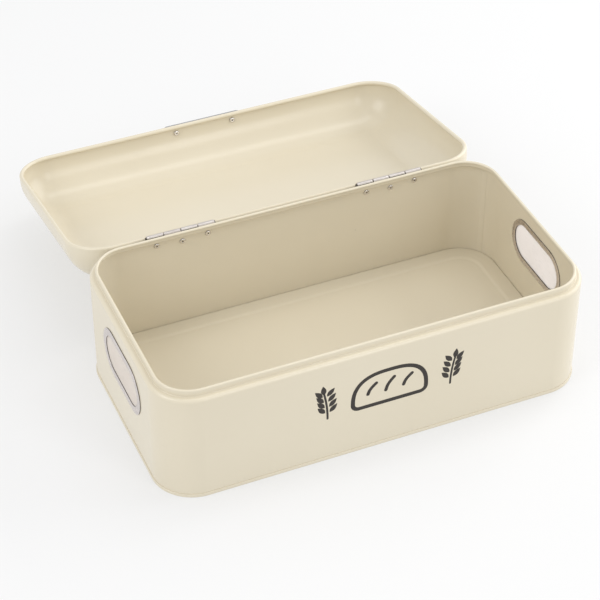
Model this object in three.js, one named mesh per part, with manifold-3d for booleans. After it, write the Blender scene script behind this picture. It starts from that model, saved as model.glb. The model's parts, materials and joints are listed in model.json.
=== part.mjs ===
// Bread bin in powder-coated sheet steel, lid folded back on its two rear hinges.
// Millimetres, +Z up, +X along the length, -Y towards the front.
// The origin lies on the standing surface, under the middle of the open bin's footprint.
import * as THREE from 'three';
import { ParametricGeometry } from 'three/addons/geometries/ParametricGeometry.js';
import { mergeVertices } from 'three/addons/utils/BufferGeometryUtils.js';
import Module from 'manifold-3d';

// Body
const LENGTH = 430;
const DEPTH = 230;
const CORNER_RADIUS = 40;
const RIM_HEIGHT = 124;
const SHEET = 0.8;
const GAP = 0.3;

// Shoulder, neck and curled rim of the body wall
const SHOULDER_RADIUS = 3.4;
const SHOULDER_HEIGHT = 117;
const NECK_INSET = 5.6;
const NECK_FILLET = 0.8;
const RIM_BEAD_RADIUS = 1.45;

// Base panel, seamed round the wall's lower edge
const SEAM_HEIGHT = 3.6;
const SEAM_EDGE_RADIUS = 0.6;
const FLOOR_HEIGHT = 9.2;
const FLOOR_EDGE_RADIUS = 1.4;
const FLOOR_STEP = 1;
const FLOOR_STEP_INSET = 14.5;
const FLOOR_STEP_RUN = 2.5;

// Lid
const LID_RIM_HEIGHT = 117.5;
const LID_SKIRT = 7.5;
const LID_FILLET = 40;
const LID_BEAD_RADIUS = 2.2;
const OPEN_ANGLE = 190.5;

// Hinges
const PIN_OFFSET = 4;
const PIN_HEIGHT = 116.5;
const PIN_RADIUS = 1.1;
const PIN_HEAD_RADIUS = 1.8;
const PIN_HEAD_LENGTH = 0.7;
const BARREL_RADIUS = 2.7;
const HINGE_CENTRE = 110.5;
const HINGE_LENGTH = 70;
const KNUCKLES = 4;
const LEAF_SHEET = 1.2;
const LEAF_HEIGHT = 14.5;
const LEAF_CORNER = 2.5;

// Rivets
const RIVET_SPACING = 26.3;
const BODY_RIVET_DROP = 7.1;
const LID_RIVET_RISE = 9;
const RIVET_STAGGER = 1.8;
const SHANK_RADIUS = 1.5;
const HOLE_RADIUS = 1.8;
const HEAD_RADIUS = 2.8;
const HEAD_DOME = 1.4;
const SET_HEAD = 1.1;
const HEAD_GAP = 0.15;
const LID_HEAD_GAP = 0.8;

// Front pull
const PULL_LENGTH = 86;
const PULL_SHEET = 1.2;
const PULL_LIFT = 3.4;
const PULL_FLANGE = 11;
const PULL_REACH = 7.5;
const PULL_CORNER = 4;
const PULL_HOLES = 64;
const PULL_HOLE_LIFT = 9.5;
const PULL_FLANGE_CORNER = 3;
const PULL_EDGE_RADIUS = 1.2;

// Hand-holds in the end walls
const HANDLE_HEIGHT = 72.9;
const HANDLE_SHIFT = -3.5;
const HANDLE_OPENING_LENGTH = 85;
const HANDLE_OPENING_HEIGHT = 37.5;
const HANDLE_FLANGE = 7.5;
const HANDLE_FLANGE_SHEET = 0.5;
const HANDLE_BARREL_OFFSET = 2.5;
const HANDLE_CURL = 6;
const HANDLE_CURL_RISE = 0.8;
const HANDLE_EDGE = 0.2;
const INSERT_OVERLAP = 2.2;
const INSERT_SHEET = 0.4;

// Facets
const CORNER_STEPS = 6;
const BEAD_STEPS = 6;
const FILLET_STEPS = 7;
const ROUND_STEPS = 12;
const DOME_STEPS = 2;
const SHOULDER_STEPS = 4;
const EDGE_STEPS = 2;
const PLATE_STEPS = 6;

// Tools for cutting, long enough to cross any sheet
const DRILL_LENGTH = 12;
const PUNCH_LENGTH = 10;
const MERGE_DISTANCE = 1e-4;

const wasm = await Module();
wasm.setup();

const CREAM = { color: 0xe3d9c0, roughness: 0.42, metalness: 0 };
const STEEL = { color: 0xc9c4be, roughness: 0.28, metalness: 1 };
const CHROME = { color: 0xd8d8da, roughness: 0.12, metalness: 1 };
const FROSTED = { color: 0xeee6e2, roughness: 0.6, metalness: 0 };

// ---- solids -------------------------------------------------------------------------------

function solidOf(geometry) {
  const bare = geometry.clone();
  bare.deleteAttribute('normal');
  bare.deleteAttribute('uv');
  const merged = mergeVertices(bare, MERGE_DISTANCE);
  const corners = merged.index.array;
  const kept = [];
  for (let i = 0; i < corners.length; i += 3) {
    const [a, b, c] = corners.slice(i, i + 3);
    if (a !== b && b !== c && c !== a) kept.push(a, b, c);
  }
  const mesh = new wasm.Mesh({
    numProp: 3,
    vertProperties: new Float32Array(merged.attributes.position.array),
    triVerts: new Uint32Array(kept),
  });
  mesh.merge();
  return new wasm.Manifold(mesh);
}

function geometryOf(solid) {
  const mesh = solid.getMesh();
  const geometry = new THREE.BufferGeometry();
  geometry.setAttribute('position', new THREE.BufferAttribute(mesh.vertProperties, 3));
  geometry.setIndex(new THREE.BufferAttribute(mesh.triVerts, 1));
  geometry.computeVertexNormals();
  return geometry;
}

function piece(name, solid, finish) {
  const mesh = new THREE.Mesh(geometryOf(solid), new THREE.MeshStandardMaterial(finish));
  mesh.name = name;
  return mesh;
}

// A rounded rectangle that a profile is swept round; a profile point is [inset, height].
function outlineOf(length, depth, radius, steps) {
  const perCorner = steps + 1;
  const place = (index, inset, target) => {
    const corner = Math.floor(index / perCorner);
    const angle = (Math.PI / 2) * (corner - 1 + (index % perCorner) / steps);
    const bend = Math.max(radius - inset, 0);
    const sideX = corner === 0 || corner === 1 ? 1 : -1;
    const sideY = corner === 1 || corner === 2 ? 1 : -1;
    target.x = sideX * (length / 2 - inset - bend) + bend * Math.cos(angle);
    target.y = sideY * (depth / 2 - inset - bend) + bend * Math.sin(angle);
  };
  return { count: 4 * perCorner, place };
}

// A profile runs down the inside and up the outside. A closed one gives a ring; an open one
// starts and ends on the axis, where inset is null.
function sweep(outline, profile, closed) {
  const rows = closed ? [...profile, profile[0]] : profile;
  const place = (u, v, target) => {
    const [inset, height] = rows[Math.round(v * (rows.length - 1))];
    const index = Math.round(u * outline.count) % outline.count;
    if (inset === null) target.set(0, 0, 0);
    else outline.place(index, inset, target);
    target.z = height;
  };
  return solidOf(new ParametricGeometry(place, outline.count, rows.length - 1));
}

function arc(inset, height, radius, from, to, steps) {
  const points = [];
  for (let i = 0; i <= steps; i++) {
    const angle = THREE.MathUtils.degToRad(from + ((to - from) * i) / steps);
    points.push([inset + radius * Math.cos(angle), height + radius * Math.sin(angle)]);
  }
  return points;
}

function roundedShape(width, height, radius) {
  const x = width / 2 - radius;
  const y = height / 2 - radius;
  const shape = new THREE.Shape();
  shape.absarc(x, y, radius, 0, Math.PI / 2);
  shape.absarc(-x, y, radius, Math.PI / 2, Math.PI);
  shape.absarc(-x, -y, radius, Math.PI, 1.5 * Math.PI);
  shape.absarc(x, -y, radius, 1.5 * Math.PI, 2 * Math.PI);
  return shape;
}

function plate(width, height, radius, thickness) {
  const options = { depth: thickness, bevelEnabled: false, curveSegments: PLATE_STEPS };
  return new THREE.ExtrudeGeometry(roundedShape(width, height, radius), options);
}

// A cylinder along X, centred at the given point.
function rodAlongX(radius, length, x, y, z) {
  const rod = new THREE.CylinderGeometry(radius, radius, length, ROUND_STEPS);
  rod.rotateZ(Math.PI / 2).translate(x, y, z);
  return solidOf(rod);
}

// A cylinder along Y that cuts a hole through whatever sheet it crosses.
function drillAlongY(x, y, z) {
  const drill = new THREE.CylinderGeometry(HOLE_RADIUS, HOLE_RADIUS, DRILL_LENGTH, ROUND_STEPS);
  drill.translate(x, y, z);
  return solidOf(drill);
}

function box(minX, maxX, minY, maxY, minZ, maxZ) {
  const block = new THREE.BoxGeometry(maxX - minX, maxY - minY, maxZ - minZ);
  block.translate((minX + maxX) / 2, (minY + maxY) / 2, (minZ + maxZ) / 2);
  return solidOf(block);
}

// ---- places -------------------------------------------------------------------------------

const BACK = DEPTH / 2;
const FRONT = -DEPTH / 2;
const PIN_Y = BACK + PIN_OFFSET;
const hinges = [
  { side: 'left', x: -HINGE_CENTRE },
  { side: 'right', x: HINGE_CENTRE },
];
const ends = [
  { side: 'left', sign: -1 },
  { side: 'right', sign: 1 },
];

// The three rivets of one leaf: the middle one sits further from the pin.
function rivetPlaces(hinge, up) {
  return [-1, 0, 1].map((step) => ({
    label: ['a', 'b', 'c'][step + 1],
    x: hinge.x + step * RIVET_SPACING,
    z: PIN_HEIGHT + up * ((up < 0 ? BODY_RIVET_DROP : LID_RIVET_RISE) + (step ? 0 : RIVET_STAGGER)),
  }));
}

const pullRivets = [-1, 1].map((side, i) => ({
  label: ['left', 'right'][i],
  x: (side * PULL_HOLES) / 2,
  z: LID_RIM_HEIGHT + PULL_HOLE_LIFT,
}));

// ---- body ---------------------------------------------------------------------------------

function bodyWall() {
  const bottom = SHEET + GAP;
  const curve = SHOULDER_HEIGHT - SHOULDER_RADIUS;
  const neck = NECK_INSET - NECK_FILLET;
  const bead = NECK_INSET + RIM_BEAD_RADIUS;
  const meet = (Math.acos((SHEET - RIM_BEAD_RADIUS) / RIM_BEAD_RADIUS) * 180) / Math.PI;
  const profile = [
    [0, bottom],
    ...arc(SHOULDER_RADIUS, curve, SHOULDER_RADIUS, 180, 90, SHOULDER_STEPS),
    ...arc(neck, SHOULDER_HEIGHT + NECK_FILLET, NECK_FILLET, -90, 0, EDGE_STEPS),
    ...arc(bead, RIM_HEIGHT - RIM_BEAD_RADIUS, RIM_BEAD_RADIUS, 180, -meet, BEAD_STEPS),
    ...arc(neck, SHOULDER_HEIGHT + NECK_FILLET, NECK_FILLET + SHEET, 0, -90, EDGE_STEPS),
    ...arc(SHOULDER_RADIUS, curve, SHOULDER_RADIUS - SHEET, 90, 180, SHOULDER_STEPS),
    [SHEET, bottom],
  ];
  let wall = sweep(outlineOf(LENGTH, DEPTH, CORNER_RADIUS, CORNER_STEPS), profile, true);
  for (const hinge of hinges) {
    for (const { x, z } of rivetPlaces(hinge, -1)) wall = wall.subtract(drillAlongY(x, BACK, z));
  }
  const offset = 2 * (HANDLE_BARREL_OFFSET + HANDLE_FLANGE_SHEET + GAP);
  const width = HANDLE_OPENING_LENGTH + offset;
  const height = HANDLE_OPENING_HEIGHT + offset;
  for (const { sign } of ends) {
    const cut = plate(width, height, height / 2, PUNCH_LENGTH);
    cut.translate(0, 0, -PUNCH_LENGTH / 2).rotateX(Math.PI / 2).rotateZ(Math.PI / 2);
    cut.translate((sign * LENGTH) / 2, HANDLE_SHIFT, HANDLE_HEIGHT);
    wall = wall.subtract(solidOf(cut));
  }
  return wall;
}

function basePanel() {
  const leg = SHEET + GAP;
  const lip = -GAP;
  const edge = SEAM_EDGE_RADIUS;
  const stepEnd = FLOOR_STEP_INSET + FLOOR_STEP_RUN;
  const under = FLOOR_HEIGHT - SHEET;
  const bend = FLOOR_EDGE_RADIUS;
  const profile = [
    [null, under - FLOOR_STEP],
    [stepEnd, under - FLOOR_STEP],
    [FLOOR_STEP_INSET, under],
    ...arc(leg + bend, FLOOR_HEIGHT - bend, bend - SHEET, 90, 180, EDGE_STEPS),
    ...arc(leg + SHEET - edge, edge, edge, 360, 270, EDGE_STEPS),
    ...arc(lip - SHEET + edge, edge, edge, 270, 180, EDGE_STEPS),
    ...arc(lip - SHEET + edge, SEAM_HEIGHT - edge, edge, 180, 90, EDGE_STEPS),
    [lip, SEAM_HEIGHT],
    [lip, SHEET],
    [leg, SHEET],
    ...arc(leg + bend, FLOOR_HEIGHT - bend, bend, 180, 90, EDGE_STEPS),
    [FLOOR_STEP_INSET, FLOOR_HEIGHT],
    [stepEnd, FLOOR_HEIGHT - FLOOR_STEP],
    [null, FLOOR_HEIGHT - FLOOR_STEP],
  ];
  return sweep(outlineOf(LENGTH, DEPTH, CORNER_RADIUS, CORNER_STEPS), profile, false);
}

// ---- lid, in its closed place -------------------------------------------------------------

function lidShell() {
  const bead = LID_BEAD_RADIUS;
  const crown = LID_RIM_HEIGHT + LID_SKIRT;
  const meet = (Math.acos((SHEET - bead) / bead) * 180) / Math.PI;
  const profile = [
    [null, crown + LID_FILLET - SHEET],
    ...arc(LID_FILLET, crown, LID_FILLET - SHEET, 90, 180, FILLET_STEPS),
    ...arc(bead, LID_RIM_HEIGHT + bead, bead, meet, -180, BEAD_STEPS),
    ...arc(LID_FILLET, crown, LID_FILLET, 180, 90, FILLET_STEPS),
    [null, crown + LID_FILLET],
  ];
  let lid = sweep(outlineOf(LENGTH, DEPTH, CORNER_RADIUS, CORNER_STEPS), profile, false);
  for (const hinge of hinges) {
    for (const { x, z } of rivetPlaces(hinge, 1)) lid = lid.subtract(drillAlongY(x, BACK, z));
  }
  for (const { x, z } of pullRivets) lid = lid.subtract(drillAlongY(x, FRONT, z));
  return lid;
}

// A flange riveted to the skirt, with a lip along its lower edge for the fingers.
function pull() {
  const back = FRONT - GAP;
  const low = LID_RIM_HEIGHT + PULL_LIFT;
  const flange = plate(PULL_LENGTH, PULL_FLANGE, PULL_FLANGE_CORNER, PULL_SHEET);
  flange.rotateX(Math.PI / 2).translate(0, back, low + PULL_FLANGE / 2);
  const lip = plate(PULL_LENGTH, 2 * PULL_REACH, PULL_CORNER, PULL_SHEET);
  lip.translate(0, back, low);
  const rear = box(-PULL_LENGTH, PULL_LENGTH, back, back + 2 * PULL_REACH,
    low - PULL_SHEET, low + 2 * PULL_SHEET);
  const straight = PULL_LENGTH - 2 * PULL_CORNER;
  const edge = rodAlongX(PULL_EDGE_RADIUS, straight, 0, back - PULL_REACH, low + PULL_SHEET / 2);
  let solid = solidOf(flange).add(solidOf(lip).subtract(rear)).add(edge);
  for (const { x, z } of pullRivets) solid = solid.subtract(drillAlongY(x, FRONT, z));
  return solid;
}

// ---- hinges -------------------------------------------------------------------------------

// The leaf with up = -1 is on the body and has knuckles 1 and 3; up = 1 is the lid's.
function leaf(hinge, up) {
  const pitch = HINGE_LENGTH / KNUCKLES;
  const inner = BACK + GAP;
  const middle = PIN_HEIGHT + (up * LEAF_HEIGHT) / 2;
  const sheet = plate(HINGE_LENGTH, LEAF_HEIGHT, LEAF_CORNER, LEAF_SHEET);
  sheet.rotateX(Math.PI / 2).translate(hinge.x, inner + LEAF_SHEET, middle);
  let solid = solidOf(sheet);
  const clear = BARREL_RADIUS + GAP;
  for (let i = 0; i < KNUCKLES; i++) {
    const start = hinge.x - HINGE_LENGTH / 2 + i * pitch;
    const own = (i % 2 === 0) === (up < 0);
    const x = start + pitch / 2;
    if (own) {
      const foot = [PIN_HEIGHT, PIN_HEIGHT + up * BARREL_RADIUS].sort((a, b) => a - b);
      const web = box(start + GAP, start + pitch - GAP, inner, PIN_Y, ...foot);
      const barrel = rodAlongX(BARREL_RADIUS, pitch - 2 * GAP, x, PIN_Y, PIN_HEIGHT);
      solid = solid.add(web).add(barrel);
    } else {
      const slot = box(start - GAP, start + pitch + GAP, BACK, PIN_Y + clear,
        PIN_HEIGHT - clear, PIN_HEIGHT + clear);
      solid = solid.subtract(slot);
    }
  }
  solid = solid.subtract(rodAlongX(PIN_RADIUS + GAP, 2 * HINGE_LENGTH, hinge.x, PIN_Y, PIN_HEIGHT));
  for (const { x, z } of rivetPlaces(hinge, up)) solid = solid.subtract(drillAlongY(x, BACK, z));
  return solid;
}

function pin(hinge) {
  let solid = rodAlongX(PIN_RADIUS, HINGE_LENGTH + PIN_HEAD_LENGTH, hinge.x, PIN_Y, PIN_HEIGHT);
  for (const side of [-1, 1]) {
    const x = hinge.x + (side * (HINGE_LENGTH + PIN_HEAD_LENGTH)) / 2;
    solid = solid.add(rodAlongX(PIN_HEAD_RADIUS, PIN_HEAD_LENGTH, x, PIN_Y, PIN_HEIGHT));
  }
  return solid;
}

// A domed head outside, a shank through the sheets and a flatter set head inside. The shank
// runs along Y; face is the sheet's outer face and outward is the way the dome points.
function rivet(x, z, face, outward, innerGap) {
  const top = GAP + LEAF_SHEET + HEAD_GAP;
  const bottom = -SHEET - innerGap;
  const points = [];
  for (let i = 0; i <= DOME_STEPS; i++) {
    const angle = (Math.PI / 2) * (i / DOME_STEPS - 1);
    points.push([HEAD_RADIUS * Math.cos(angle), bottom + SET_HEAD * Math.sin(angle)]);
  }
  points.push([SHANK_RADIUS, bottom], [SHANK_RADIUS, top]);
  for (let i = 0; i <= DOME_STEPS; i++) {
    const angle = (Math.PI / 2) * (i / DOME_STEPS);
    points.push([HEAD_RADIUS * Math.cos(angle), top + HEAD_DOME * Math.sin(angle)]);
  }
  points[0][0] = 0;
  points[points.length - 1][0] = 0;
  const profile = points.map(([radius, height]) => new THREE.Vector2(radius, height));
  const lathe = new THREE.LatheGeometry(profile, ROUND_STEPS);
  if (outward < 0) lathe.rotateX(Math.PI);
  lathe.translate(x, face, z);
  return solidOf(lathe);
}

// ---- hand-holds ---------------------------------------------------------------------------

// Profiles here are [inset from the opening's edge, distance out from the wall's outer face].
function handleOutline() {
  return outlineOf(HANDLE_OPENING_LENGTH, HANDLE_OPENING_HEIGHT, HANDLE_OPENING_HEIGHT / 2,
    CORNER_STEPS);
}

function standUp(solid, sign) {
  const turn = sign > 0 ? [90, 0, 90] : [90, 0, -90];
  return solid.rotate(turn).translate([(sign * LENGTH) / 2, HANDLE_SHIFT, HANDLE_HEIGHT]);
}

// One stamped ring: flange outside, barrel through the wall, a low crowned flange inside.
function grommet(sign) {
  const sheet = HANDLE_FLANGE_SHEET;
  const barrel = -HANDLE_BARREL_OFFSET;
  const face = GAP + sheet;
  const edge = HANDLE_EDGE;
  const inner = -SHEET - GAP;
  const curl = [];
  for (let i = 0; i <= BEAD_STEPS; i++) {
    const angle = (Math.PI * i) / BEAD_STEPS;
    curl.push([
      (-HANDLE_CURL * (1 - Math.cos(angle))) / 2,
      inner - edge - HANDLE_CURL_RISE * Math.sin(angle),
    ]);
  }
  const profile = [
    [barrel, GAP],
    [barrel, inner],
    [0, inner],
    ...curl,
    [-HANDLE_CURL, inner],
    [barrel - sheet, inner],
    [barrel - sheet, GAP],
    [-HANDLE_FLANGE, GAP],
    [-HANDLE_FLANGE, face - edge],
    [-HANDLE_FLANGE + edge, face],
    [-edge, face],
    [0, face - edge],
    [0, GAP],
  ];
  return standUp(sweep(handleOutline(), profile, true), sign);
}

// The milky panel that closes the opening, held in the grommet's groove.
function insert(sign) {
  const out = -INSERT_OVERLAP;
  const high = 0;
  const low = high - INSERT_SHEET;
  const profile = [[null, low], [out, low], [out, high], [null, high]];
  return standUp(sweep(handleOutline(), profile, false), sign);
}

// ---- assembly -----------------------------------------------------------------------------

const body = new THREE.Group();
body.add(piece('body_wall', bodyWall(), CREAM));
body.add(piece('base_panel', basePanel(), CREAM));
for (const { side, sign } of ends) {
  body.add(piece(`${side}_handle_grommet`, grommet(sign), STEEL));
  body.add(piece(`${side}_handle_insert`, insert(sign), FROSTED));
}

const lid = new THREE.Group();
lid.add(piece('lid_shell', lidShell(), CREAM));
lid.add(piece('lid_pull', pull(), CHROME));

for (const hinge of hinges) {
  const name = `${hinge.side}_hinge`;
  body.add(piece(`${name}_body_leaf`, leaf(hinge, -1), STEEL));
  body.add(piece(`${name}_pin`, pin(hinge), STEEL));
  lid.add(piece(`${name}_lid_leaf`, leaf(hinge, 1), STEEL));
  for (const { label, x, z } of rivetPlaces(hinge, -1)) {
    body.add(piece(`${name}_body_rivet_${label}`, rivet(x, z, BACK, 1, HEAD_GAP), STEEL));
  }
  for (const { label, x, z } of rivetPlaces(hinge, 1)) {
    lid.add(piece(`${name}_lid_rivet_${label}`, rivet(x, z, BACK, 1, LID_HEAD_GAP), STEEL));
  }
}
for (const { label, x, z } of pullRivets) {
  lid.add(piece(`pull_rivet_${label}`, rivet(x, z, FRONT, -1, LID_HEAD_GAP), STEEL));
}

// The lid turns back about the hinge pins until its rivet heads meet the body's.
lid.children.forEach((mesh) => mesh.position.set(0, -PIN_Y, -PIN_HEIGHT));
lid.position.set(0, PIN_Y, PIN_HEIGHT);
lid.rotation.x = -THREE.MathUtils.degToRad(OPEN_ANGLE);

const breadBin = new THREE.Group();
breadBin.add(body, lid);
breadBin.updateMatrixWorld(true);
const footprint = new THREE.Box3().setFromObject(breadBin, true);
breadBin.position.y = -(footprint.min.y + footprint.max.y) / 2;

export default breadBin;
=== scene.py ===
"""Bread bin in cream powder-coated steel, lid folded back, on a pale studio floor.

Pieces are drawn in millimetres about the bin's own middle (x and y) and its standing surface
(z), with the lid closed, and are then moved to the frame's metres. Lid pieces are also turned
back about the hinge pins to the angle that the frame rests at.
"""

import json
import math

import bmesh
import bpy
from mathutils import Matrix, Vector


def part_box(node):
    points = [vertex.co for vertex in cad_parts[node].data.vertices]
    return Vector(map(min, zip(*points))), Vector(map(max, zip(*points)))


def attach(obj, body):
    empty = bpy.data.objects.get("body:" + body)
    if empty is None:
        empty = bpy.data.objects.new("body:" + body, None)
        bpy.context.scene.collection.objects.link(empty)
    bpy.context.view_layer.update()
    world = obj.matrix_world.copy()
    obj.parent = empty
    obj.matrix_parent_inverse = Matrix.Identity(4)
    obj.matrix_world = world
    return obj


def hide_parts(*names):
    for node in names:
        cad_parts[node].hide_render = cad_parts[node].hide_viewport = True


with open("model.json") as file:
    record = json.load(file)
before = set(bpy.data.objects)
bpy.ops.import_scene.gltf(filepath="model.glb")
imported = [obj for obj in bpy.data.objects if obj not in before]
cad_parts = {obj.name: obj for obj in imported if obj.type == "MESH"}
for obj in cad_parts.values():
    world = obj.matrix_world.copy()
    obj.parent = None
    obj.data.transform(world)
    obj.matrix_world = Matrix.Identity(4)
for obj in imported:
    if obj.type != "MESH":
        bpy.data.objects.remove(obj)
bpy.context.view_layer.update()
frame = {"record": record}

MM = 0.001
wall_low, wall_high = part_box("body_wall")
pin_low, pin_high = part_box("left_hinge_pin")
grommet_low, grommet_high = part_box("right_handle_grommet")
lid_joint = frame["record"]["behaviour"]["joints"][0]

# Body, from the frame
MIDDLE_Y = (wall_low.y + wall_high.y) / 2
LENGTH = (wall_high.x - wall_low.x) / MM
DEPTH = (wall_high.y - wall_low.y) / MM
RIM_HEIGHT = wall_high.z / MM
BACK = DEPTH / 2
FRONT = -DEPTH / 2
CORNER_RADIUS = 40
SHEET = 0.8
GAP = 0.3

# Shoulder, neck and curled rim
SHOULDER_RADIUS = 3.4
SHOULDER_HEIGHT = 117
NECK_INSET = 5.6
NECK_FILLET = 0.8
RIM_BEAD_RADIUS = 1.45

# Base panel
SEAM_HEIGHT = 3.6
SEAM_EDGE_RADIUS = 0.6
FLOOR_HEIGHT = 9.2
FLOOR_EDGE_RADIUS = 0.85
FLOOR_STEP = 0.8
FLOOR_STEP_INSET = 14.5
FLOOR_STEP_RUN = 5

# Lock seam in the wall's right rear corner
LOCK_SEAM_ANGLE = 34.5
LOCK_SEAM_WIDTH = 5
LOCK_SEAM_RISE = 0.25

# Lid
LID_RIM_HEIGHT = 117.5
LID_SKIRT = 7.5
LID_FILLET = 40
LID_BEAD_RADIUS = 2.2
OPEN_ANGLE = lid_joint["range_deg"][1]

# Hinges
PIN_Y = ((pin_low.y + pin_high.y) / 2 - MIDDLE_Y) / MM
PIN_Z = (pin_low.z + pin_high.z) / 2 / MM
PIN_RADIUS = 1.1
PIN_HEAD_RADIUS = 1.8
PIN_HEAD_LENGTH = 0.7
BARREL_RADIUS = 2.7
HINGE_CENTRE = abs(pin_low.x + pin_high.x) / 2 / MM
HINGE_LENGTH = 70
KNUCKLES = 4
LEAF_SHEET = 1.2
LEAF_HEIGHT = 14.5
LEAF_CORNER = 2.5
KNUCKLE_GAP = 0.42

# Rivets
RIVET_SPACING = 26.3
BODY_RIVET_DROP = 7.1
LID_RIVET_RISE = 9
RIVET_STAGGER = 1.8
SHANK_RADIUS = 1.5
HEAD_RADIUS = 2.8
HEAD_DOME = 1.4
SET_HEAD = 1.1
HEAD_GAP = 0.15
LID_HEAD_GAP = 0.8
HEAD_SKIRT = 0.35
EYE_RADIUS = 0.8
EYE_DEPTH = 0.5

# Front pull
PULL_LENGTH = 86
PULL_SHEET = 1.2
PULL_LIFT = 3.4
PULL_FLANGE = 11
PULL_FLANGE_CORNER = 3
PULL_REACH = 7.5
PULL_CORNER = 4
PULL_HOLES = 64
PULL_HOLE_LIFT = 9.5
PULL_VOXEL = 0.24
PULL_KEEP = 0.12

# Hand-holds
HANDLE_SHIFT = ((grommet_low.y + grommet_high.y) / 2 - MIDDLE_Y) / MM
HANDLE_HEIGHT = (grommet_low.z + grommet_high.z) / 2 / MM
OPENING_LENGTH = 85
OPENING_HEIGHT = 37.5
HANDLE_FLANGE = 7.5
HANDLE_FLANGE_SHEET = 0.5
HANDLE_BARREL_OFFSET = 2.5
HANDLE_CURL = 6
HANDLE_CURL_RISE = 0.8
HANDLE_EDGE = 0.2
INSERT_OVERLAP = 2.2
INSERT_SHEET = 0.4
CLOSE_FIT = 0.05
PUCKER = 0.05
SAG = 0.04
PUNCH_LENGTH = 10

# Printed picture on the front
PRINT_CENTRE = (3.8, 71)
PRINT_HEIGHT = 42
PRINT_STROKE = 4.2
PRINT_THICKNESS = 0.04
PRINT_LIFT = 0.01
LOAF_WIDTH = 78
LOAF_CORNER = 6
LOAF_SIDE = 7
EAR_OFFSET = 62
EAR_LEAN = 3.5
EAR_FOOT_LIFT = 1.2
GRAIN_LENGTH = 11.2
GRAIN_WIDTH = 5.2
GRAIN_PITCH = 6.6
GRAIN_LEAN = 42

# Camera, in degrees, metres from the bin's middle, and millimetres of film
CAMERA_AZIMUTH = -23.219
CAMERA_ELEVATION = 39.559
CAMERA_ROLL = 0.082
CAMERA_PLACE = (-0.61006, -1.33762, 1.29876)
CAMERA_LENS = 120.84
CAMERA_SENSOR = 36

# Studio: lamps are (name, place, size, watts), in metres
LAMPS = (
    ("top_strip", (0.5, 0.2, 2.06), (0.5, 1.5), 5.4),
    ("front_strip", (0.55, -1.58, 0.97), (0.55, 0.9), 4.2),
    ("left", (-1.8, -0.4, 1.55), (1.3, 1.3), 14),
    ("right", (2.0, 0.1, 0.9), (2.4, 1.8), 28),
)
LAMP_AIM = (0, 0.05, 0.06)
ROOM_LIGHT = 0.79
PAPER_SIZE = 12
PAPER_CORNER = 3
PAPER_SHEET = 0.01
PAPER_DROP = 0.0001
PAPER_GLOW = 0.48

# Facets of the fine meshes
CORNER_STEPS = 24
ROUND_STEPS = 40
SHARP_ANGLE = math.radians(38)
MERGE_DISTANCE = 1e-5

BIN_PLACE = Matrix.Translation((0, MIDDLE_Y, 0)) @ Matrix.Scale(MM, 4)
PIN = Vector((0, PIN_Y, PIN_Z))
LID_PLACE = (
    BIN_PLACE
    @ Matrix.Translation(PIN)
    @ Matrix.Rotation(-math.radians(OPEN_ANGLE), 4, "X")
    @ Matrix.Translation(-PIN)
)

# ---- materials ----------------------------------------------------------------------------


class Nodes:
    """A material's node tree, with one short call for each node."""

    def __init__(self, name):
        self.material = bpy.data.materials.new(name)
        self.material.use_nodes = True
        self.tree = self.material.node_tree
        self.shader = self.tree.nodes["Principled BSDF"]
        self.output = self.tree.nodes["Material Output"]
        self.place = self.add("ShaderNodeTexCoord").outputs["Object"]

    def add(self, kind, **settings):
        node = self.tree.nodes.new(kind)
        for key, value in settings.items():
            setattr(node, key, value)
        return node

    def link(self, output, target):
        self.tree.links.new(output, target)

    def noise(self, scale, detail=2.0, stretch=(1, 1, 1)):
        mapping = self.add("ShaderNodeMapping")
        mapping.inputs["Scale"].default_value = stretch
        self.link(self.place, mapping.inputs["Vector"])
        node = self.add("ShaderNodeTexNoise")
        node.inputs["Scale"].default_value = scale
        node.inputs["Detail"].default_value = detail
        self.link(mapping.outputs["Vector"], node.inputs["Vector"])
        return node.outputs["Fac"]

    def ramp(self, value, low, high, start=0.3, stop=0.7):
        node = self.add("ShaderNodeMapRange")
        node.inputs["From Min"].default_value = start
        node.inputs["From Max"].default_value = stop
        node.inputs["To Min"].default_value = low
        node.inputs["To Max"].default_value = high
        self.link(value, node.inputs["Value"])
        return node.outputs["Result"]

    def blend(self, factor, first, second):
        node = self.add("ShaderNodeMix", data_type="RGBA")
        self.link(factor, node.inputs["Factor"])
        for socket, colour in (("A", first), ("B", second)):
            target = next(s for s in node.inputs if s.name == socket and s.type == "RGBA")
            if isinstance(colour, tuple):
                target.default_value = (*colour, 1)
            else:
                self.link(colour, target)
        return next(s for s in node.outputs if s.type == "RGBA")

    def specks(self, scale, size, share):
        """1 inside a few small round grains and 0 elsewhere."""
        cells = self.add("ShaderNodeTexVoronoi")
        cells.inputs["Scale"].default_value = scale
        self.link(self.place, cells.inputs["Vector"])
        near = self.add("ShaderNodeMath", operation="LESS_THAN")
        near.inputs[1].default_value = size
        self.link(cells.outputs["Distance"], near.inputs[0])
        chosen = self.add("ShaderNodeMath", operation="LESS_THAN")
        chosen.inputs[1].default_value = share
        red = self.add("ShaderNodeSeparateColor")
        self.link(cells.outputs["Color"], red.inputs["Color"])
        self.link(red.outputs["Red"], chosen.inputs[0])
        both = self.add("ShaderNodeMath", operation="MULTIPLY")
        self.link(near.outputs[0], both.inputs[0])
        self.link(chosen.outputs[0], both.inputs[1])
        return both.outputs[0]

    def bump(self, height, distance, below=None):
        node = self.add("ShaderNodeBump")
        node.inputs["Distance"].default_value = distance
        self.link(height, node.inputs["Height"])
        if below is not None:
            self.link(below, node.inputs["Normal"])
        return node.outputs["Normal"]

    def set(self, name, value):
        self.shader.inputs[name].default_value = value


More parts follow.
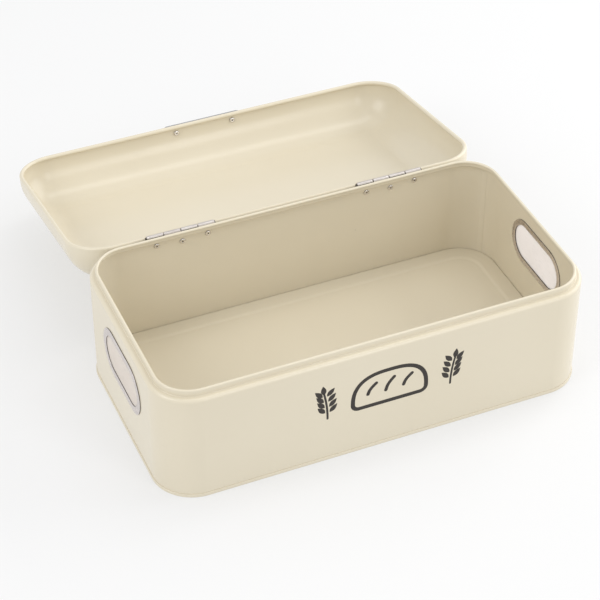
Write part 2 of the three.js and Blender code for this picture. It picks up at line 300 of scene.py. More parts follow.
def enamel(name, light, deep):
    """Semi-gloss powder coat: a slow drift of colour, orange peel, soft waves and rare grains."""
    n = Nodes(name)
    drift = n.blend(n.ramp(n.noise(6, 3), 0, 1), light, deep)
    mottle = n.blend(n.ramp(n.noise(160, 2), 0, 0.16), drift, deep)
    grains = n.blend(n.specks(55, 0.022, 0.05), mottle, tuple(c * 0.55 for c in deep))
    n.link(grains, n.shader.inputs["Base Color"])
    n.link(n.ramp(n.noise(45, 3), 0.2, 0.26), n.shader.inputs["Roughness"])
    waves = n.bump(n.noise(11, 1), 0.0006)
    peel = n.bump(n.noise(620, 1), 0.00002, waves)
    n.link(peel, n.shader.inputs["Normal"])
    n.set("IOR", 1.5)
    return n.material


def steel(name, light, deep, roughness, stretch):
    """Rolled or polished steel with drawn-out hairlines and a breath of tarnish."""
    n = Nodes(name)
    lines = n.noise(260, 4, stretch)
    stain = n.noise(35, 3)
    colour = n.blend(n.ramp(stain, 0, 1), light, deep)
    n.link(colour, n.shader.inputs["Base Color"])
    n.link(n.ramp(lines, *roughness), n.shader.inputs["Roughness"])
    n.link(n.bump(lines, 0.000015), n.shader.inputs["Normal"])
    n.set("Metallic", 1.0)
    return n.material


def milky_sheet(name, light, deep, through_share):
    """A thin frosted sheet: some light is scattered back and more comes through from behind."""
    n = Nodes(name)
    clouds = n.blend(n.ramp(n.noise(30, 4), 0, 1), light, deep)
    fibres = n.noise(140, 3, (1, 1, 3.5))
    streaked = n.blend(n.ramp(fibres, 0, 0.35, 0.55, 0.75), clouds, tuple(c * 0.86 for c in deep))
    n.link(streaked, n.shader.inputs["Base Color"])
    n.link(n.ramp(n.noise(90, 2), 0.34, 0.5), n.shader.inputs["Roughness"])
    ripple = n.bump(n.noise(38, 2), 0.0008)
    n.link(n.bump(fibres, 0.00006, ripple), n.shader.inputs["Normal"])
    through = n.add("ShaderNodeBsdfTranslucent")
    n.link(streaked, through.inputs["Color"])
    mix = n.add("ShaderNodeMixShader")
    mix.inputs["Fac"].default_value = through_share
    n.link(n.shader.outputs[0], mix.inputs[1])
    n.link(through.outputs[0], mix.inputs[2])
    n.link(mix.outputs[0], n.output.inputs["Surface"])
    return n.material


def ink(name, light, deep):
    """Screen-printed ink, a little uneven, duller than the enamel under it."""
    n = Nodes(name)
    n.link(n.blend(n.ramp(n.noise(240, 3), 0, 1), light, deep), n.shader.inputs["Base Color"])
    n.link(n.ramp(n.noise(420, 2), 0.42, 0.56), n.shader.inputs["Roughness"])
    n.link(n.bump(n.noise(700, 2), 0.00001), n.shader.inputs["Normal"])
    return n.material


CREAM = enamel("cream_enamel", (0.722, 0.66, 0.522), (0.698, 0.632, 0.494))
STEEL = steel("hinge_steel", (0.69, 0.65, 0.62), (0.57, 0.525, 0.5), (0.34, 0.5), (0.3, 4, 4))
RIVET_STEEL = steel("rivet_steel", (0.83, 0.81, 0.79), (0.7, 0.67, 0.65), (0.06, 0.16), (1, 1, 1))
RING_STEEL = steel("ring_steel", (0.72, 0.67, 0.655), (0.65, 0.6, 0.585), (0.22, 0.36), (1, 1, 1))
# Dark steel for the hinge pins; the same dark colour is also painted shade on the rivets' inside
# heads and on the grommets' steep faces.
DARK_STEEL_AND_SHADE = steel("dark_steel_and_painted_shade", (0.16, 0.145, 0.13), (0.09, 0.08, 0.07), (0.3, 0.5), (1, 1, 1))
CHROME = steel("pull_chrome", (0.5, 0.5, 0.51), (0.42, 0.42, 0.43), (0.1, 0.22), (0.4, 3, 3))
MILKY = milky_sheet("frosted_insert", (0.87, 0.84, 0.82), (0.84, 0.81, 0.785), 0.7)
INK = ink("print_ink", (0.026, 0.02, 0.015), (0.02, 0.015, 0.011))

# ---- mesh tools ---------------------------------------------------------------------------


def outline(length, depth, radius, steps=CORNER_STEPS):
    """A rounded rectangle as a function of inset: [(x, y), ...]."""

    def at(inset):
        bend = max(radius - inset, 0)
        points = []
        for corner, (side_x, side_y) in enumerate(((1, -1), (1, 1), (-1, 1), (-1, -1))):
            for i in range(steps + 1):
                angle = math.radians(90) * (corner - 1 + i / steps)
                x = side_x * (length / 2 - inset - bend) + bend * math.cos(angle)
                y = side_y * (depth / 2 - inset - bend) + bend * math.sin(angle)
                points.append((x, y))
        return points

    return at


def arc(inset, height, radius, start, end, steps):
    """Points on an arc about (inset, height), between two angles in degrees."""
    points = []
    for i in range(steps + 1):
        angle = math.radians(start + (end - start) * i / steps)
        points.append((inset + radius * math.cos(angle), height + radius * math.sin(angle)))
    return points


def sweep(around, profile, closed):
    """A profile of (inset, height) taken round an outline. An open one is capped at both ends."""
    bm = bmesh.new()
    rows = []
    for inset, height in profile:
        rows.append([bm.verts.new((x, y, height)) for x, y in around(inset)])
    pairs = list(zip(rows, rows[1:]))
    if closed:
        pairs.append((rows[-1], rows[0]))
    count = len(rows[0])
    for low, high in pairs:
        for i in range(count):
            j = (i + 1) % count
            bm.faces.new((low[i], low[j], high[j], high[i]))
    if not closed:
        bm.faces.new(rows[0])
        bm.faces.new(rows[-1][::-1])
    bmesh.ops.remove_doubles(bm, verts=bm.verts, dist=MERGE_DISTANCE)
    bmesh.ops.recalc_face_normals(bm, faces=bm.faces)
    return bm


def lathe(profile, steps=ROUND_STEPS):
    """A profile of (radius, height) turned about Z; both ends lie on the axis."""
    bm = bmesh.new()
    first = bm.verts.new((0, 0, profile[0][1]))
    last = bm.verts.new((0, 0, profile[-1][1]))
    rings = []
    for radius, height in profile[1:-1]:
        ring = []
        for i in range(steps):
            angle = math.tau * i / steps
            ring.append(bm.verts.new((radius * math.cos(angle), radius * math.sin(angle), height)))
        rings.append(ring)
    for i in range(steps):
        j = (i + 1) % steps
        bm.faces.new((first, rings[0][j], rings[0][i]))
        bm.faces.new((last, rings[-1][i], rings[-1][j]))
        for low, high in zip(rings, rings[1:]):
            bm.faces.new((low[i], low[j], high[j], high[i]))
    bmesh.ops.recalc_face_normals(bm, faces=bm.faces)
    return bm


def prism(points, thickness):
    """A flat outline in XY given a thickness along Z."""
    bm = bmesh.new()
    face = bm.faces.new([bm.verts.new((x, y, 0)) for x, y in points])
    made = bmesh.ops.extrude_face_region(bm, geom=[face])
    top = [v for v in made["geom"] if isinstance(v, bmesh.types.BMVert)]
    bmesh.ops.translate(bm, verts=top, vec=(0, 0, thickness))
    bmesh.ops.recalc_face_normals(bm, faces=bm.faces)
    return bm


def rounded(width, height, radii, steps=8):
    """A rectangle centred on (0, 0) with a radius for each corner, from lower right round."""
    points = []
    for corner, (side_x, side_y) in enumerate(((1, -1), (1, 1), (-1, 1), (-1, -1))):
        radius = radii[corner]
        centre = (side_x * (width / 2 - radius), side_y * (height / 2 - radius))
        for i in range(steps + 1 if radius else 1):
            angle = math.radians(90) * (corner - 1 + i / steps)
            points.append(
                (centre[0] + radius * math.cos(angle), centre[1] + radius * math.sin(angle))
            )
    return points


def paint_shade(bm, chosen):
    """Faces that chosen(centre, normal) picks take the piece's second material, a dark colour
    painted on as shade.
    """
    bm.normal_update()
    for face in bm.faces:
        if chosen(face.calc_center_median(), face.normal):
            face.material_index = 1
    return bm


def turned(bm, matrix):
    bmesh.ops.transform(bm, matrix=matrix, verts=bm.verts)
    return bm


def joined(*parts):
    """Several closed bodies in one mesh."""
    whole = bmesh.new()
    for part in parts:
        scratch = bpy.data.meshes.new("scratch")
        part.to_mesh(scratch)
        whole.from_mesh(scratch)
        bpy.data.meshes.remove(scratch)
        part.free()
    return whole


def new_object(name, bm):
    mesh = bpy.data.meshes.new(name)
    bm.to_mesh(mesh)
    bm.free()
    obj = bpy.data.objects.new(name, mesh)
    bpy.context.scene.collection.objects.link(obj)
    return obj


def settle(obj):
    """Applies the modifiers."""
    graph = bpy.context.evaluated_depsgraph_get()
    mesh = bpy.data.meshes.new_from_object(obj.evaluated_get(graph))
    obj.modifiers.clear()
    obj.data = mesh
    obj.data.name = obj.name


def cut(obj, tools):
    """Cuts the tools out of obj and deletes them."""
    for tool in tools:
        modifier = obj.modifiers.new("cut", "BOOLEAN")
        modifier.operation = "DIFFERENCE"
        modifier.solver = "EXACT"
        modifier.object = tool
    settle(obj)
    for tool in tools:
        bpy.data.objects.remove(tool)


def bevel(obj, width, segments=3, angle=40):
    modifier = obj.modifiers.new("bevel", "BEVEL")
    modifier.width = width
    modifier.segments = segments
    modifier.limit_method = "ANGLE"
    modifier.angle_limit = math.radians(angle)
    settle(obj)


def shade(obj):
    """Smooth inside each bend and crisp across real edges, with flat sheet kept flat."""
    bm = bmesh.new()
    bm.from_mesh(obj.data)
    for face in bm.faces:
        face.smooth = True
    for edge in bm.edges:
        edge.smooth = len(edge.link_faces) == 2 and edge.calc_face_angle(0) < SHARP_ANGLE
    bm.to_mesh(obj.data)
    bm.free()
    modifier = obj.modifiers.new("even_normals", "WEIGHTED_NORMAL")
    modifier.weight = 100
    modifier.keep_sharp = True
    settle(obj)


def add_piece(obj, materials, body, nodes):
    """Gives a finished piece its materials and its place in the frame, and hides the parts it
    stands in for.
    """
    obj.data.transform(BIN_PLACE if body == "bin" else LID_PLACE)
    shade(obj)
    for finish in materials:
        obj.data.materials.append(finish)
    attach(obj, body)
    if nodes:
        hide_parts(*nodes)


# ---- places -------------------------------------------------------------------------------

HINGES = (("left", -HINGE_CENTRE), ("right", HINGE_CENTRE))
ENDS = (("left", -1), ("right", 1))


def rivet_places(hinge_x, up):
    """The three rivets of one leaf; up is -1 on the body and 1 on the lid."""
    offset = BODY_RIVET_DROP if up < 0 else LID_RIVET_RISE
    places = []
    for label, step in zip("abc", (-1, 0, 1)):
        stagger = 0 if step else RIVET_STAGGER
        places.append((label, hinge_x + step * RIVET_SPACING, PIN_Z + up * (offset + stagger)))
    return places


def stand_up(sign):
    """Takes a shape drawn flat, its Z outwards, to the outside of an end wall."""
    face_out = Matrix.Rotation(math.radians(90 * sign), 4, "Z")
    upright = Matrix.Rotation(math.radians(90), 4, "X")
    place = Matrix.Translation((sign * LENGTH / 2, HANDLE_SHIFT, HANDLE_HEIGHT))
    return place @ face_out @ upright


# ---- body ---------------------------------------------------------------------------------

body_outline = outline(LENGTH, DEPTH, CORNER_RADIUS)
handle_outline = outline(OPENING_LENGTH, OPENING_HEIGHT, OPENING_HEIGHT / 2)


def wall_profile():
    bottom = SHEET + GAP
    curve = SHOULDER_HEIGHT - SHOULDER_RADIUS
    neck = NECK_INSET - NECK_FILLET
    bead = NECK_INSET + RIM_BEAD_RADIUS
    meet = math.degrees(math.acos((SHEET - RIM_BEAD_RADIUS) / RIM_BEAD_RADIUS))
    return [
        (0, bottom),
        *arc(SHOULDER_RADIUS, curve, SHOULDER_RADIUS, 180, 90, 10),
        *arc(neck, SHOULDER_HEIGHT + NECK_FILLET, NECK_FILLET, -90, 0, 5),
        *arc(bead, RIM_HEIGHT - RIM_BEAD_RADIUS, RIM_BEAD_RADIUS, 180, -meet, 18),
        *arc(neck, SHOULDER_HEIGHT + NECK_FILLET, NECK_FILLET + SHEET, 0, -90, 6),
        *arc(SHOULDER_RADIUS, curve, SHOULDER_RADIUS - SHEET, 90, 180, 8),
        (SHEET, bottom),
    ]


def body_wall():
    wall = new_object("wall", sweep(body_outline, wall_profile(), True))
    offset = HANDLE_BARREL_OFFSET + HANDLE_FLANGE_SHEET + GAP
    punches = []
    for side, sign in ENDS:
        hole = prism(handle_outline(-offset), PUNCH_LENGTH)
        turned(hole, stand_up(sign) @ Matrix.Translation((0, 0, -PUNCH_LENGTH / 2)))
        punches.append(new_object(f"punch_{side}", hole))
    cut(wall, punches)
    add_piece(wall, [CREAM], "bin", ["body_wall"])


def lock_seam():
    """The folded joint where the wall strip's two ends meet, pressed nearly flat."""
    inner = CORNER_RADIUS - SHEET
    centre = (LENGTH / 2 - CORNER_RADIUS, BACK - CORNER_RADIUS)
    half = math.degrees(LOCK_SEAM_WIDTH / 2 / inner)
    edge = math.degrees(LOCK_SEAM_RISE / inner)
    shape = [(-half, -0.1), (-half, LOCK_SEAM_RISE * 0.6), (-half + edge, LOCK_SEAM_RISE)]
    shape += [(half - 3 * edge, LOCK_SEAM_RISE), (half, 0.02), (half, -0.1)]
    bm = bmesh.new()
    rows = []
    top = SHOULDER_HEIGHT - SHOULDER_RADIUS
    for height in (FLOOR_HEIGHT + GAP, top):
        row = []
        for turn, rise in shape:
            angle = math.radians(LOCK_SEAM_ANGLE + turn)
            reach = inner - rise
            x = centre[0] + reach * math.cos(angle)
            y = centre[1] + reach * math.sin(angle)
            row.append(bm.verts.new((x, y, height)))
        rows.append(row)
    count = len(shape)
    for i in range(count):
        j = (i + 1) % count
        bm.faces.new((rows[0][i], rows[0][j], rows[1][j], rows[1][i]))
    bm.faces.new(rows[0][::-1])
    bm.faces.new(rows[1])
    bmesh.ops.recalc_face_normals(bm, faces=bm.faces)
    add_piece(new_object("wall_lock_seam", bm), [CREAM], "bin", [])


def base_panel():
    leg = SHEET + GAP
    lip = -CLOSE_FIT
    edge = SEAM_EDGE_RADIUS
    step_end = FLOOR_STEP_INSET + FLOOR_STEP_RUN
    under = FLOOR_HEIGHT - SHEET
    bend = FLOOR_EDGE_RADIUS
    profile = [
        (step_end, under - FLOOR_STEP),
        (FLOOR_STEP_INSET, under),
        *arc(leg + bend, FLOOR_HEIGHT - bend, bend - SHEET, 90, 180, 5),
        *arc(leg + SHEET - edge, edge, edge, 360, 270, 5),
        *arc(lip - SHEET + edge, edge, edge, 270, 180, 5),
        *arc(lip - SHEET + edge, SEAM_HEIGHT - edge, edge, 180, 90, 5),
        (lip, SEAM_HEIGHT),
        (lip, SHEET),
        (leg, SHEET),
        *arc(leg + bend, FLOOR_HEIGHT - bend, bend, 180, 90, 8),
    ]
    for i in range(9):
        share = i / 8
        drop = FLOOR_STEP * (1 - math.cos(math.pi * share)) / 2
        profile.append((FLOOR_STEP_INSET + FLOOR_STEP_RUN * share, FLOOR_HEIGHT - drop))
    base = new_object("base", sweep(body_outline, profile, False))
    add_piece(base, [CREAM], "bin", ["base_panel"])


# ---- lid ----------------------------------------------------------------------------------


def lid_shell():
    bead = LID_BEAD_RADIUS
    crown = LID_RIM_HEIGHT + LID_SKIRT
    meet = math.degrees(math.acos((SHEET - bead) / bead))
    profile = [
        *arc(LID_FILLET, crown, LID_FILLET - SHEET, 90, 180, 28),
        *arc(bead, LID_RIM_HEIGHT + bead, bead, meet, -180, 20),
        *arc(LID_FILLET, crown, LID_FILLET, 180, 90, 28),
    ]
    lid = new_object("lid", sweep(body_outline, profile, False))
    add_piece(lid, [CREAM], "lid", ["lid_shell"])


def lid_pull():
    back = FRONT - GAP
    low = LID_RIM_HEIGHT + PULL_LIFT
    upright = Matrix.Rotation(math.radians(90), 4, "X")
    corner = PULL_FLANGE_CORNER
    flange = prism(rounded(PULL_LENGTH, PULL_FLANGE, (0, corner, corner, 0)), PULL_SHEET)
    turned(flange, Matrix.Translation((0, back, low + PULL_FLANGE / 2)) @ upright)
    corner = PULL_CORNER
    lip = prism(rounded(PULL_LENGTH, PULL_REACH, (corner, 0, 0, corner)), PULL_SHEET)
    turned(lip, Matrix.Translation((0, back - PULL_REACH / 2, low)))
    pull = new_object("pull", joined(flange, lip))
    modifier = pull.modifiers.new("weld", "REMESH")
    modifier.mode = "VOXEL"
    modifier.voxel_size = PULL_VOXEL
    settle(pull)
    modifier = pull.modifiers.new("ease", "SMOOTH")
    modifier.iterations = 4
    settle(pull)
    modifier = pull.modifiers.new("lighten", "DECIMATE")
    modifier.ratio = PULL_KEEP
    settle(pull)
    add_piece(pull, [CHROME], "lid", ["lid_pull"])


# ---- hinges and rivets --------------------------------------------------------------------


def rod_along_x(radius, length, x, y, z, edge=0.25):
    """A round bar with its ends eased, lying along X."""
    half = length / 2
    profile = [(0, -half), *arc(radius - edge, -half + edge, edge, -90, 0, 4)]
    profile += [*arc(radius - edge, half - edge, edge, 0, 90, 4), (0, half)]
    bar = lathe(profile)
    lie = Matrix.Rotation(math.radians(90), 4, "Y")
    return turned(bar, Matrix.Translation((x, y, z)) @ lie)


def knuckle(x, length, up):
    """The leaf's sheet rolled round the pin, with the small seam where it meets itself."""
    inner = BARREL_RADIUS - LEAF_SHEET
    start, end = (-170, 150) if up < 0 else (170, -150)
    outer_arc = arc(0, 0, BARREL_RADIUS, start, end, 36)
    inner_arc = arc(0, 0, inner, end, start, 36)
    root = BACK + GAP - PIN_Y
    foot = [(root, up * BARREL_RADIUS), (root, up * 0.6)]
    tail = [(-inner, up * 0.6)]
    rise = [(root * 0.5, up * BARREL_RADIUS)]
    roll = prism(outer_arc + inner_arc, length)
    web_points = foot + tail + [(-inner * 0.3, up * (BARREL_RADIUS - 0.35))] + rise
    web = prism(web_points, length)
    both = joined(roll, web)
    # Drawn with Y as x and Z as y; the thickness lies along X.
    turn = Matrix(((0, 0, 1, 0), (1, 0, 0, 0), (0, 1, 0, 0), (0, 0, 0, 1)))
    return turned(both, Matrix.Translation((x, PIN_Y, PIN_Z)) @ turn)


def leaf(side, hinge_x, up):
    """One leaf: a flat plate notched for the other's knuckles, and two knuckles of its own."""
    pitch = HINGE_LENGTH / KNUCKLES
    clear = BARREL_RADIUS + GAP
    left = -HINGE_LENGTH / 2
    inner_edge = []
    parts = []
    for i in range(KNUCKLES):
        start = left + i * pitch
        end = start + pitch
        if (i % 2 == 0) == (up < 0):
            inner_edge += [(start + KNUCKLE_GAP, 0), (end - KNUCKLE_GAP, 0)]
            parts.append(knuckle(hinge_x + start + KNUCKLE_GAP, pitch - 2 * KNUCKLE_GAP, up))
        else:
            inner_edge += [(start - GAP, clear), (end + GAP, clear)]
    inner_edge = [(min(max(x, left), -left), y) for x, y in inner_edge]
    far = []
    for side_x, angles in ((1, (0, 90)), (-1, (90, 180))):
        centre_x = side_x * (-left - LEAF_CORNER)
        far += arc(centre_x, LEAF_HEIGHT - LEAF_CORNER, LEAF_CORNER, *angles, 8)
    plate = prism([(x, up * y) for x, y in inner_edge + far], LEAF_SHEET)
    upright = Matrix.Rotation(math.radians(90), 4, "X")
    turned(plate, Matrix.Translation((hinge_x, BACK + GAP + LEAF_SHEET, PIN_Z)) @ upright)
    where = "body" if up < 0 else "lid"
    name = f"{side}_hinge_{where}_leaf"
    obj = new_object(f"{side}_{where}_leaf", joined(plate, *parts))
    bevel(obj, 0.18, 2, 50)
    add_piece(obj, [STEEL], "bin" if up < 0 else "lid", [name])


def hinge_pin(side, hinge_x):
    reach = HINGE_LENGTH + PIN_HEAD_LENGTH
    parts = [rod_along_x(PIN_RADIUS, reach, hinge_x, PIN_Y, PIN_Z)]
    for end in (-1, 1):
        x = hinge_x + end * reach / 2
        parts.append(rod_along_x(PIN_HEAD_RADIUS, PIN_HEAD_LENGTH, x, PIN_Y, PIN_Z, 0.2))
    pin = new_object(f"{side}_pin", joined(*parts))
    add_piece(pin, [DARK_STEEL_AND_SHADE], "bin", [f"{side}_hinge_pin"])


def rivet(name, node, body, x, z, face, outward, inner_gap):
    """A domed head outside; inside, the shank is spread into a low head with a small eye."""
    top = GAP + LEAF_SHEET + HEAD_GAP
    bottom = -SHEET - inner_gap
    skirt = bottom - HEAD_SKIRT
    profile = [(0, bottom - SET_HEAD + EYE_DEPTH)]
    profile += [(EYE_RADIUS * 0.6, bottom - SET_HEAD + EYE_DEPTH * 0.8)]
    profile += [(EYE_RADIUS, bottom - SET_HEAD + 0.1), (EYE_RADIUS + 0.25, bottom - SET_HEAD)]
    brow = EYE_RADIUS + 0.5
    for i in range(1, 8):
        angle = math.radians(90) * i / 7
        radius = brow + (HEAD_RADIUS - brow) * math.sin(angle)
        profile.append((radius, skirt - (SET_HEAD - HEAD_SKIRT) * math.cos(angle)))
    profile += [(HEAD_RADIUS, bottom), (SHANK_RADIUS, bottom), (SHANK_RADIUS, top)]
    for i in range(11):
        angle = math.radians(90) * i / 10
        profile.append((HEAD_RADIUS * math.cos(angle), top + HEAD_DOME * math.sin(angle)))
    profile[-1] = (0, top + HEAD_DOME)
    stand = Matrix.Rotation(math.radians(-90 * outward), 4, "X")

    # The eye and the skirt of the spread head inside take the dark second material: painted shade
    # in the hollow and under the head's rim.
    def painted_shade_faces(centre, normal):
        in_eye = math.hypot(centre.x, centre.y) < EYE_RADIUS
        on_skirt = abs(normal.z) < 0.1
        return centre.z < 0 and (in_eye or on_skirt)

    bm = lathe(profile)
    paint_shade(bm, painted_shade_faces)
    turned(bm, Matrix.Translation((x, face, z)) @ stand)
    add_piece(new_object(name, bm), [RIVET_STEEL, DARK_STEEL_AND_SHADE], body, [node])


def all_rivets():
    for side, hinge_x in HINGES:
        for label, x, z in rivet_places(hinge_x, -1):
            node = f"{side}_hinge_body_rivet_{label}"
            rivet(f"{side}_body_rivet_{label}", node, "bin", x, z, BACK, 1, HEAD_GAP)
        for label, x, z in rivet_places(hinge_x, 1):
            node = f"{side}_hinge_lid_rivet_{label}"
            rivet(f"{side}_lid_rivet_{label}", node, "lid", x, z, BACK, 1, LID_HEAD_GAP)
    for side, sign in ENDS:
        x = sign * PULL_HOLES / 2
        z = LID_RIM_HEIGHT + PULL_HOLE_LIFT
        name = f"rivet_of_pull_{side}"
        rivet(name, f"pull_rivet_{side}", "lid", x, z, FRONT, -1, LID_HEAD_GAP)


# ---- hand-holds ---------------------------------------------------------------------------


def grommet(side, sign):
    """Flat flange outside, a barrel through the wall and a low crowned flange inside."""
    sheet = HANDLE_FLANGE_SHEET
    barrel = -HANDLE_BARREL_OFFSET
    face = GAP + sheet
    edge = HANDLE_EDGE
    inner = -SHEET - CLOSE_FIT
    crown = []
    for i in range(19):
        angle = math.pi * i / 18
        rise = HANDLE_CURL_RISE * math.sin(angle) ** 0.6
        crown.append((-HANDLE_CURL * (1 - math.cos(angle)) / 2, inner - edge - rise))
    profile = [
        (barrel, CLOSE_FIT),
        (barrel, inner),
        (0, inner),
        *crown,
        (-HANDLE_CURL, inner),
        (barrel - sheet, inner),
        (barrel - sheet, CLOSE_FIT),
        (-HANDLE_FLANGE, CLOSE_FIT),
        *arc(-HANDLE_FLANGE + edge, face - edge, edge, 180, 90, 4),
        *arc(-edge, face - edge, edge, 90, 0, 4),
        (0, CLOSE_FIT),
    ]

    # Steep faces take the dark second material: painted shade along the flange's edges and on the
    # slopes of the inner crown.
    def steep_painted_shade(centre, normal):
        limit = 0.5 if centre.z > inner else 0.88
        return abs(normal.z) < limit

    bm = sweep(handle_outline, profile, True)
    paint_shade(bm, steep_painted_shade)
    ring = new_object(f"{side}_grommet", turned(bm, stand_up(sign)))
    add_piece(ring, [RING_STEEL, DARK_STEEL_AND_SHADE], "bin", [f"{side}_handle_grommet"])


def insert(side, sign):
    """The milky sheet, gently puckered where its edge is gripped."""
    middle = -INSERT_SHEET / 2
    inner_radius = OPENING_HEIGHT / 2
    rings = 16
    bm = bmesh.new()
    faces = []
    for level in (-1, 1):
        rows = []
        for i in range(rings + 1):
            inset = -INSERT_OVERLAP + (inner_radius - 0.5 + INSERT_OVERLAP) * i / rings
            row = []
            for x, y in handle_outline(inset):
                along = math.atan2(y, x)
                grip = math.exp(-(((inset - 3) / 3.2) ** 2)) if inset > 0 else 0
                pucker = PUCKER * math.sin(17 * along + 0.8) * math.sin(5 * along) * grip
                sag = SAG * math.sin(x / 11 + 0.5) * math.sin(y / 7) if inset > 0 else 0
                z = middle + level * INSERT_SHEET / 2 + pucker + sag
                row.append(bm.verts.new((x, y, z)))
            rows.append(row)
        faces.append(rows)
    count = len(faces[0][0])
    for rows in faces:
        for low, high in zip(rows, rows[1:]):
            for i in range(count):
                j = (i + 1) % count
                bm.faces.new((low[i], low[j], high[j], high[i]))
        bm.faces.new(rows[-1])
    for i in range(count):
        j = (i + 1) % count
        bm.faces.new((faces[0][0][i], faces[0][0][j], faces[1][0][j], faces[1][0][i]))
    bmesh.ops.remove_doubles(bm, verts=bm.verts, dist=MERGE_DISTANCE)
    bmesh.ops.recalc_face_normals(bm, faces=bm.faces)
    panel = new_object(f"{side}_insert", turned(bm, stand_up(sign)))
    add_piece(panel, [MILKY], "bin", [f"{side}_handle_insert"])


# ---- printed picture: a loaf between two ears of wheat ------------------------------------


def ribbon(path, width):
    """A stroke with round ends along an open path."""
    left, right = [], []
    half = width / 2
    last = len(path) - 1
    for i, (x, y) in enumerate(path):
        before = path[max(i - 1, 0)]
        after = path[min(i + 1, last)]
        angle = math.atan2(after[1] - before[1], after[0] - before[0])
        nx, ny = -math.sin(angle) * half, math.cos(angle) * half
        left.append((x + nx, y + ny))
        right.append((x - nx, y - ny))
    caps = []
    for (x, y), (px, py) in ((path[-1], path[-2]), (path[0], path[1])):
        heading = math.degrees(math.atan2(y - py, x - px))
        cap = []
        for k in range(1, 9):
            angle = math.radians(heading + 90 - 180 * k / 9)
            cap.append((x + half * math.cos(angle), y + half * math.sin(angle)))
        caps.append(cap)
    return left + caps[0] + right[::-1] + caps[1]


def kernel(x, y, length, width, lean):
    """A pointed grain whose foot is at (x, y), leaning by so many degrees from upright."""
    points = []
    steps = 10
    for side in (1, -1):
        for i in range(steps):
            share = i / steps if side > 0 else 1 - i / steps
            across = side * width / 2 * math.sin(math.pi * share ** 0.85)
            up = length * share
            turn = math.radians(-lean)
            px = across * math.cos(turn) - up * math.sin(turn)
            py = across * math.sin(turn) + up * math.cos(turn)
            points.append((x + px, y + py))
    return points


def wheat(centre_x, lean):
    """An ear on its stalk: pairs of grains up the stalk and one at the tip."""
    shapes = []
    foot = -PRINT_HEIGHT / 2
    reach = PRINT_HEIGHT - 12

    def stalk(share):
        return centre_x + lean * share * share, foot + EAR_FOOT_LIFT + reach * share

    shapes.append(ribbon([stalk(i / 12) for i in range(13)], PRINT_STROKE * 0.5))
    for i in range(4):
        x, y = stalk((7.5 + GRAIN_PITCH * i) / reach)
        for side in (-1, 1):
            shapes.append(kernel(x + side * 2.2, y, GRAIN_LENGTH, GRAIN_WIDTH, side * GRAIN_LEAN))
    x, y = stalk(1)
    shapes.append(kernel(x, y - 0.2, 11, 5.4, lean * 2))
    return shapes


def loaf():
    """The outline of a long loaf from the side, and three slashes in its crust."""
    foot = -PRINT_HEIGHT / 2 + PRINT_STROKE / 2
    half = LOAF_WIDTH / 2 - PRINT_STROKE / 2
    tall = PRINT_HEIGHT - PRINT_STROKE
    path = []
    for i in range(61):
        angle = math.pi * i / 60
        across = math.copysign(abs(math.cos(angle)) ** 0.72, math.cos(angle))
        rise = (tall - LOAF_SIDE) * math.sin(angle) ** 0.8
        path.append((across * half, foot + LOAF_SIDE + rise))
    path += arc(-half + LOAF_CORNER, foot + LOAF_CORNER, LOAF_CORNER, 180, 270, 8)
    path += arc(half - LOAF_CORNER, foot + LOAF_CORNER, LOAF_CORNER, 270, 360, 8)
    slashes = []
    for i in (-1, 0, 1):
        x = i * LOAF_WIDTH * 0.23
        rise = 10.5 if i == 0 else 8.5
        slash = []
        for k in range(9):
            share = k / 8
            bend = 1.6 * math.sin(math.pi * share)
            slash.append((x - 4 + 8 * share - bend, -1 + rise * (share - 0.3) * 1.3))
        slashes.append(ribbon(slash, PRINT_STROKE * 0.85))
    return path, slashes


def closed_stroke(path, width):
    """The outer and inner edges of a stroke along a closed path."""
    count = len(path)
    outer, inner = [], []
    for i, (x, y) in enumerate(path):
        before, after = path[i - 1], path[(i + 1) % count]
        angle = math.atan2(after[1] - before[1], after[0] - before[0])
        nx, ny = math.sin(angle) * width / 2, -math.cos(angle) * width / 2
        outer.append((x + nx, y + ny))
        inner.append((x - nx, y - ny))
    return outer, inner


def ring_prism(outer, inner, thickness):
    """The band between two matching outlines, given a thickness along Z."""
    bm = bmesh.new()
    rows = []
    for points, height in ((outer, 0), (outer, thickness), (inner, thickness), (inner, 0)):
        rows.append([bm.verts.new((x, y, height)) for x, y in points])
    count = len(outer)
    for low, high in zip(rows, rows[1:] + rows[:1]):
        for i in range(count):
            j = (i + 1) % count
            bm.faces.new((low[i], low[j], high[j], high[i]))
    bmesh.ops.recalc_face_normals(bm, faces=bm.faces)
    return bm


def printed_picture():
    crust, slashes = loaf()
    outer, inner = closed_stroke(crust, PRINT_STROKE)
    parts = [ring_prism(outer, inner, PRINT_THICKNESS)]
    ears = wheat(-EAR_OFFSET, -EAR_LEAN) + wheat(EAR_OFFSET, EAR_LEAN)
    for points in slashes + ears:
        parts.append(prism(points, PRINT_THICKNESS))
    picture = new_object("front_picture", joined(*parts))
    centre_x, centre_z = PRINT_CENTRE
    upright = Matrix.Rotation(math.radians(90), 4, "X")
    place = Matrix.Translation((centre_x, FRONT - PRINT_LIFT, centre_z))
    picture.data.transform(place @ upright)
    add_piece(picture, [INK], "bin", [])


# ---- studio -------------------------------------------------------------------------------


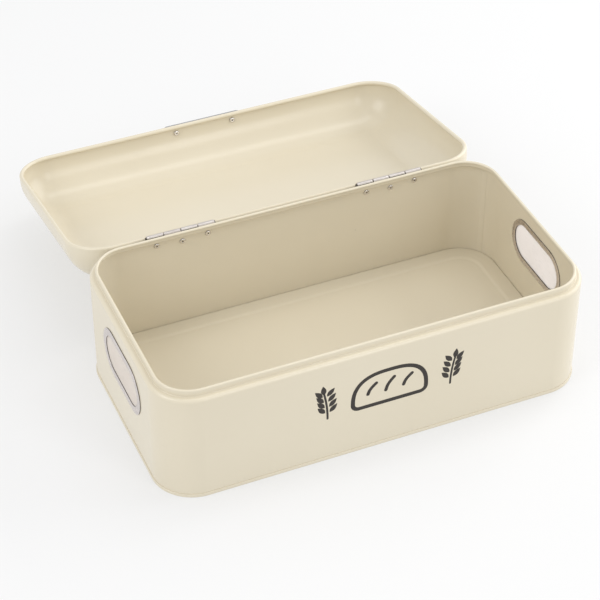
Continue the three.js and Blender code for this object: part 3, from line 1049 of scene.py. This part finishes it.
def camera():
    """Looks down on the bin from its front left corner."""
    azimuth = math.radians(CAMERA_AZIMUTH)
    elevation = math.radians(CAMERA_ELEVATION)
    roll = math.radians(CAMERA_ROLL)
    back = Vector((
        math.sin(azimuth) * math.cos(elevation),
        -math.cos(azimuth) * math.cos(elevation),
        math.sin(elevation),
    ))
    right = Vector((math.cos(azimuth), math.sin(azimuth), 0))
    up = back.cross(right)
    data = bpy.data.cameras.new("camera")
    data.sensor_width = CAMERA_SENSOR
    data.lens = CAMERA_LENS
    data.clip_end = 50
    eye = bpy.data.objects.new("camera", data)
    turn = Matrix((right, up, back)).transposed().to_4x4()
    place = Matrix.Translation(Vector(CAMERA_PLACE) + Vector((0, MIDDLE_Y, 0)))
    eye.matrix_world = place @ turn @ Matrix.Rotation(roll, 4, "Z")
    bpy.context.scene.collection.objects.link(eye)
    bpy.context.scene.camera = eye


def softbox(name, place, size, watts):
    data = bpy.data.lights.new(name, "AREA")
    data.shape = "RECTANGLE"
    data.size, data.size_y = size
    data.energy = watts
    lamp = bpy.data.objects.new(name, data)
    lamp.location = place
    lamp.rotation_mode = "QUATERNION"
    lamp.rotation_quaternion = (Vector(LAMP_AIM) - Vector(place)).to_track_quat("-Z", "Y")
    bpy.context.scene.collection.objects.link(lamp)


def studio():
    paper = rounded(PAPER_SIZE, PAPER_SIZE, (PAPER_CORNER,) * 4, 12)
    floor = new_object("studio_floor", prism(paper, PAPER_SHEET))
    floor.location = (0, 0, -PAPER_SHEET - PAPER_DROP)
    n = Nodes("studio_paper")
    tone = n.blend(n.ramp(n.noise(3, 2), 0, 1), (0.78, 0.78, 0.78), (0.775, 0.776, 0.778))
    n.link(tone, n.shader.inputs["Base Color"])
    n.set("Roughness", 0.9)
    n.set("Specular IOR Level", 0.0)
    glow = n.add("ShaderNodeEmission")
    glow.inputs["Color"].default_value = (0.965, 0.967, 0.97, 1)
    mix = n.add("ShaderNodeMixShader")
    mix.inputs["Fac"].default_value = PAPER_GLOW
    n.link(n.shader.outputs[0], mix.inputs[1])
    n.link(glow.outputs[0], mix.inputs[2])
    n.link(mix.outputs[0], n.output.inputs["Surface"])
    floor.data.materials.append(n.material)

    world = bpy.data.worlds.new("studio")
    world.use_nodes = True
    background = world.node_tree.nodes["Background"]
    background.inputs["Color"].default_value = (1, 1, 1, 1)
    background.inputs["Strength"].default_value = ROOM_LIGHT
    bpy.context.scene.world = world
    bpy.context.scene.view_settings.view_transform = "Standard"

    for lamp in LAMPS:
        softbox(*lamp)


# ---- assembly -----------------------------------------------------------------------------

camera()
studio()
body_wall()
lock_seam()
base_panel()
lid_shell()
lid_pull()
for hinge_side, centre in HINGES:
    leaf(hinge_side, centre, -1)
    leaf(hinge_side, centre, 1)
    hinge_pin(hinge_side, centre)
all_rivets()
for end_side, end_sign in ENDS:
    grommet(end_side, end_sign)
    insert(end_side, end_sign)
printed_picture()
